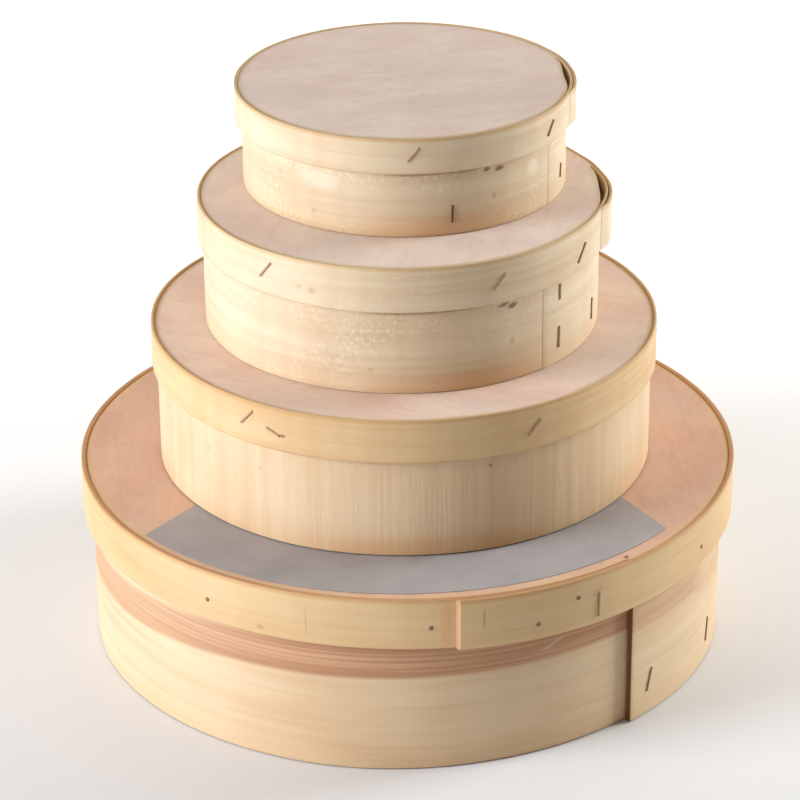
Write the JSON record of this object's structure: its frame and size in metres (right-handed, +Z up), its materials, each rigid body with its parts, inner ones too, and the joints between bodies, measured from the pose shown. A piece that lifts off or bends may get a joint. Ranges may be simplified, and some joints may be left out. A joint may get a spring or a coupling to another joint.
{
  "type": "cheese mold",
  "caption": "Stack of round bentwood cheese boxes, graded in size, each a lapped and stapled veneer hoop on a bottom board with a skirted lift-off lid.",
  "frame": {"origin": "on the resting face, at the middle of the largest box's bottom board", "axes": "+Z up through the stack; -Y is the front, where the largest lid's lap and label are; +X to the right seen from the front"},
  "size_m": [0.36, 0.3612, 0.3076],
  "materials": {
    "strip_wood": "bare poplar veneer, matt",
    "board_wood": "bare sanded board, matt",
    "label_paper": "blank grey paper, matt",
    "staple_wire": "dull oxidised wire",
    "tack_steel": "dull oxidised steel"
  },
  "bodies": {
    "largest_box": {"largest_body_hoop": "strip_wood", "largest_body_staple_1": "staple_wire", "largest_body_staple_2": "staple_wire", "largest_body_staple_3": "staple_wire", "largest_body_staple_4": "staple_wire", "largest_body_staple_5": "staple_wire", "largest_body_staple_6": "staple_wire", "largest_bottom_board": "board_wood"},
    "largest_lid": {"largest_lid_board": "board_wood", "largest_lid_board_tack": "tack_steel", "largest_lid_hoop": "strip_wood", "largest_lid_label": "label_paper", "largest_lid_lining": "strip_wood", "largest_lid_staple_1": "staple_wire", "largest_lid_tack_1": "tack_steel", "largest_lid_tack_2": "tack_steel", "largest_lid_tack_3": "tack_steel", "largest_lid_tack_4": "tack_steel", "largest_lid_tack_5": "tack_steel", "largest_lid_tack_6": "tack_steel", "largest_lid_tack_7": "tack_steel", "largest_lid_tack_8": "tack_steel"},
    "large_box": {"large_body_hoop": "strip_wood", "large_body_staple_1": "staple_wire", "large_body_staple_2": "staple_wire", "large_body_staple_3": "staple_wire", "large_bottom_board": "board_wood"},
    "large_lid": {"large_lid_board": "board_wood", "large_lid_hoop": "strip_wood", "large_lid_staple_1": "staple_wire", "large_lid_staple_2": "staple_wire", "large_lid_staple_3": "staple_wire", "large_lid_staple_4": "staple_wire", "large_lid_staple_5": "staple_wire", "large_lid_staple_6": "staple_wire"},
    "medium_box": {"medium_body_hoop": "strip_wood", "medium_body_staple_1": "staple_wire", "medium_body_staple_2": "staple_wire", "medium_body_staple_3": "staple_wire", "medium_body_staple_4": "staple_wire", "medium_bottom_board": "board_wood"},
    "medium_lid": {"medium_lid_board": "board_wood", "medium_lid_hoop": "strip_wood", "medium_lid_staple_1": "staple_wire", "medium_lid_staple_2": "staple_wire", "medium_lid_staple_3": "staple_wire", "medium_lid_staple_4": "staple_wire", "medium_lid_staple_5": "staple_wire", "medium_lid_staple_6": "staple_wire"},
    "small_box": {"small_body_hoop": "strip_wood", "small_body_staple_1": "staple_wire", "small_body_staple_2": "staple_wire", "small_body_staple_3": "staple_wire", "small_bottom_board": "board_wood"},
    "small_lid": {"small_lid_board": "board_wood", "small_lid_hoop": "strip_wood", "small_lid_staple_1": "staple_wire", "small_lid_staple_2": "staple_wire", "small_lid_staple_3": "staple_wire", "small_lid_staple_4": "staple_wire"}
  },
  "joints": [
    {"name": "largest_lid_lift", "type": "slide", "parent": "largest_box", "child": "largest_lid", "axis": [0, 0, 1], "range_m": [0, 0.08]},
    {"name": "large_box_lift", "type": "slide", "parent": "largest_lid", "child": "large_box", "axis": [0, 0, 1], "range_m": [0, 0.05]},
    {"name": "large_lid_lift", "type": "slide", "parent": "large_box", "child": "large_lid", "axis": [0, 0, 1], "range_m": [0, 0.07]},
    {"name": "medium_box_lift", "type": "slide", "parent": "large_lid", "child": "medium_box", "axis": [0, 0, 1], "range_m": [0, 0.05]},
    {"name": "medium_lid_lift", "type": "slide", "parent": "medium_box", "child": "medium_lid", "axis": [0, 0, 1], "range_m": [0, 0.07]},
    {"name": "small_box_lift", "type": "slide", "parent": "medium_lid", "child": "small_box", "axis": [0, 0, 1], "range_m": [0, 0.05]},
    {"name": "small_lid_lift", "type": "slide", "parent": "small_box", "child": "small_lid", "axis": [0, 0, 1], "range_m": [0, 0.06]}
  ]
}
